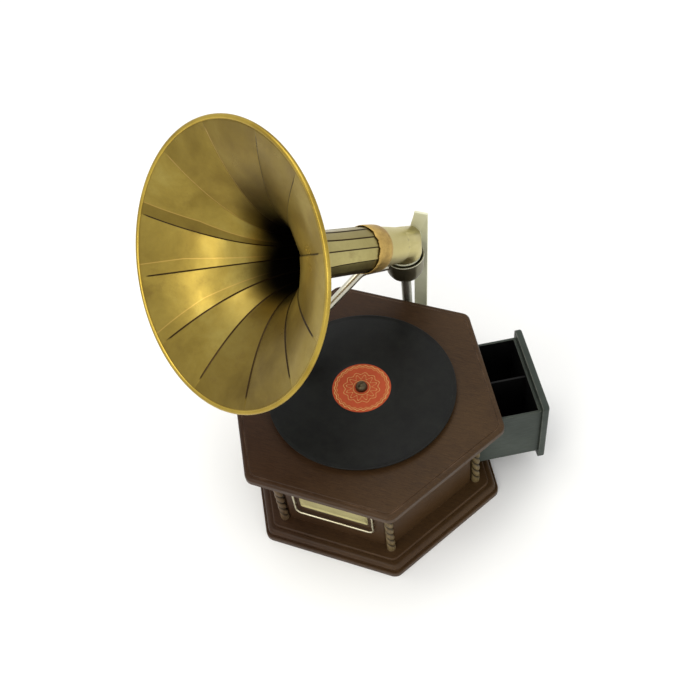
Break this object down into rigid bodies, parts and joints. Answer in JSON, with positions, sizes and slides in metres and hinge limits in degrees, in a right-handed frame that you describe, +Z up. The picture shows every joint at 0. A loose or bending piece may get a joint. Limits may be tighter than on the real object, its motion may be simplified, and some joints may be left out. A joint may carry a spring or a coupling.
{
  "type": "wind up phonograph",
  "caption": "Hexagonal table-top wind-up record player with a flared sheet-metal horn, spring motor, winding crank, swinging tonearm, side drawer, brake and speed dial.",
  "frame": {"origin": "centre of the underside of the hexagonal case, on the turntable's axis", "axes": "+Z up; corners of the case point to 0, 60, 120 ... degrees; -Y is the front face with the name plate, the horn's bracket stands at +Y, and the drawer opens towards 30 degrees"},
  "size_m": [0.5259, 0.3859, 0.5882],
  "materials": {
    "case_wood": "satin dark walnut",
    "inner_wood": "plain unfinished",
    "drawer_paint": "dull green-black stain",
    "knob_wood": "turned and polished",
    "plate_metal": "aged and darkened",
    "wire_steel": "aged wire",
    "horn_brass": "polished, slightly tarnished sheet",
    "tube_brass": "smooth, pale",
    "cup_bronze": "dark patina",
    "post_iron": "dark painted",
    "strap_nickel": "worn nickel",
    "arm_nickel": "worn nickel",
    "mica": "thin mica sheet",
    "needle_steel": "bright",
    "platter_iron": "machined rim",
    "felt": "short nap",
    "shellac": "grooved shellac",
    "label_paper": "printed paper, plain ornament",
    "clamp_bronze": "dark patina",
    "motor_iron": "painted casting",
    "motor_steel": "machined",
    "governor_brass": "machined",
    "crank_nickel": "worn nickel"
  },
  "bodies": {
    "case": {"plinth_moulding": "case_wood", "bottom_board": "inner_wood", "front_panel": "case_wood", "right_front_panel": "case_wood", "drawer_side_panel": "case_wood", "back_panel": "case_wood", "crank_side_panel": "case_wood", "left_front_panel": "case_wood", "corner_columns": "case_wood", "deck_board": "case_wood", "deck_moulding": "case_wood", "name_plate": "plate_metal", "name_plate_frame": "wire_steel", "drawer_runners": "inner_wood", "motor_top_plate": "motor_iron", "motor_bottom_plate": "motor_iron", "motor_pillars": "motor_steel", "crank_escutcheon": "crank_nickel", "bracket_base": "post_iron", "bracket_screws": "motor_steel", "support_post": "post_iron", "support_strap": "strap_nickel"},
    "drawer": {"drawer_box": "drawer_paint", "drawer_divider": "drawer_paint", "drawer_front": "drawer_paint", "drawer_knob": "knob_wood"},
    "turntable": {"spindle": "motor_steel", "platter": "platter_iron", "platter_felt": "felt", "record": "shellac", "record_label": "label_paper", "record_clamp": "clamp_bronze"},
    "barrel": {"mainspring_barrel": "motor_iron", "barrel_cover": "motor_iron", "mainspring": "motor_steel"},
    "winding_wheel": {"winding_arbor": "motor_steel"},
    "intermediate": {"intermediate_gear": "motor_steel"},
    "governor": {"governor_shaft": "motor_steel", "governor_disc": "governor_brass", "governor_weights": "governor_brass"},
    "crank": {"crank_shaft": "crank_nickel", "crank_arm": "crank_nickel"},
    "crank_handle": {"crank_grip": "knob_wood"},
    "pawl": {"ratchet_pawl": "motor_steel"},
    "tonearm": {"swivel_cup": "cup_bronze", "tonearm_tube": "arm_nickel", "gooseneck_pin": "arm_nickel"},
    "reproducer": {"gooseneck": "arm_nickel", "soundbox_body": "arm_nickel", "diaphragm": "mica", "soundbox_ring": "arm_nickel", "stylus_bar": "arm_nickel", "needle": "needle_steel"},
    "horn": {"horn_bell": "horn_brass", "horn_neck": "horn_brass", "horn_tube": "tube_brass", "horn_elbow": "tube_brass"},
    "brake": {"brake_lever": "crank_nickel"},
    "dial": {"speed_dial": "crank_nickel"},
    "regulator": {"regulator_lever": "motor_steel"}
  },
  "joints": [
    {"name": "turntable_spin", "type": "hinge", "parent": "case", "child": "turntable", "pos_m": [0, 0, 0.1735], "axis": [0, 0, 1], "continuous": true},
    {"name": "intermediate_spin", "type": "hinge", "parent": "case", "child": "intermediate", "pos_m": [-0.03519, -0.0076, 0.1], "axis": [0, 0, 1], "continuous": true},
    {"name": "barrel_spin", "type": "hinge", "parent": "case", "child": "barrel", "pos_m": [-0.06002, 0.03465, 0.13], "axis": [0, 0, 1], "continuous": true},
    {"name": "governor_spin", "type": "hinge", "parent": "case", "child": "governor", "pos_m": [-0.03, -0.031, 0.107], "axis": [1, 0, 0], "continuous": true},
    {"name": "crank_turn", "type": "hinge", "parent": "case", "child": "crank", "pos_m": [-0.13856, 0.08, 0.104], "axis": [-0.866, 0.5, 0], "continuous": true},
    {"name": "winding_wheel_spin", "type": "hinge", "parent": "case", "child": "winding_wheel", "pos_m": [-0.06002, 0.03465, 0.1], "axis": [0, 0, 1], "continuous": true},
    {"name": "crank_handle_spin", "type": "hinge", "parent": "crank", "child": "crank_handle", "pos_m": [-0.18186, 0.105, 0.026], "axis": [-0.866, 0.5, 0], "continuous": true},
    {"name": "pawl_click", "type": "hinge", "parent": "case", "child": "pawl", "pos_m": [-0.05112, 0.05908, 0.084], "axis": [0, 0, 1], "range_deg": [-4.5, 4], "stiffness_Nm_per_rad": 0.01, "springref_deg": -11.46},
    {"name": "tonearm_swing", "type": "hinge", "parent": "case", "child": "tonearm", "pos_m": [0.004, 0.182, 0.23], "axis": [0, 0, 1], "range_deg": [-28, 11]},
    {"name": "reproducer_lift", "type": "hinge", "parent": "tonearm", "child": "reproducer", "pos_m": [-0.0853, 0.056, 0.2281], "axis": [-0.9036, 0.4284, 0], "range_deg": [0, 45]},
    {"name": "horn_swivel", "type": "hinge", "parent": "case", "child": "horn", "pos_m": [0.004, 0.182, 0.26], "axis": [0, 0, 1], "range_deg": [-45, 45]},
    {"name": "drawer_slide", "type": "slide", "parent": "case", "child": "drawer", "axis": [0.866, 0.5, 0], "range_m": [-0.095, 0.006]},
    {"name": "brake_turn", "type": "hinge", "parent": "case", "child": "brake", "pos_m": [-0.14854, 0.02088, 0.174], "axis": [0, 0, 1], "range_deg": [-8.5, 0]},
    {"name": "speed_dial_turn", "type": "hinge", "parent": "case", "child": "dial", "pos_m": [-0.1375, 0, 0.174], "axis": [0, 0, 1], "range_deg": [-60, 60]},
    {"name": "regulator_turn", "type": "hinge", "parent": "case", "child": "regulator", "pos_m": [-0.066, -0.046, 0.097], "axis": [0, 0, 1], "range_deg": [-1.8, 1.8]}
  ],
  "couplings": [
    {"joint": "intermediate_spin", "follows": "turntable_spin", "ratio": -0.2},
    {"joint": "barrel_spin", "follows": "turntable_spin", "ratio": 0.033333},
    {"joint": "governor_spin", "follows": "turntable_spin", "ratio": 10},
    {"joint": "winding_wheel_spin", "follows": "crank_turn", "ratio": -0.5},
    {"joint": "regulator_turn", "follows": "speed_dial_turn", "ratio": -0.02768}
  ]
}
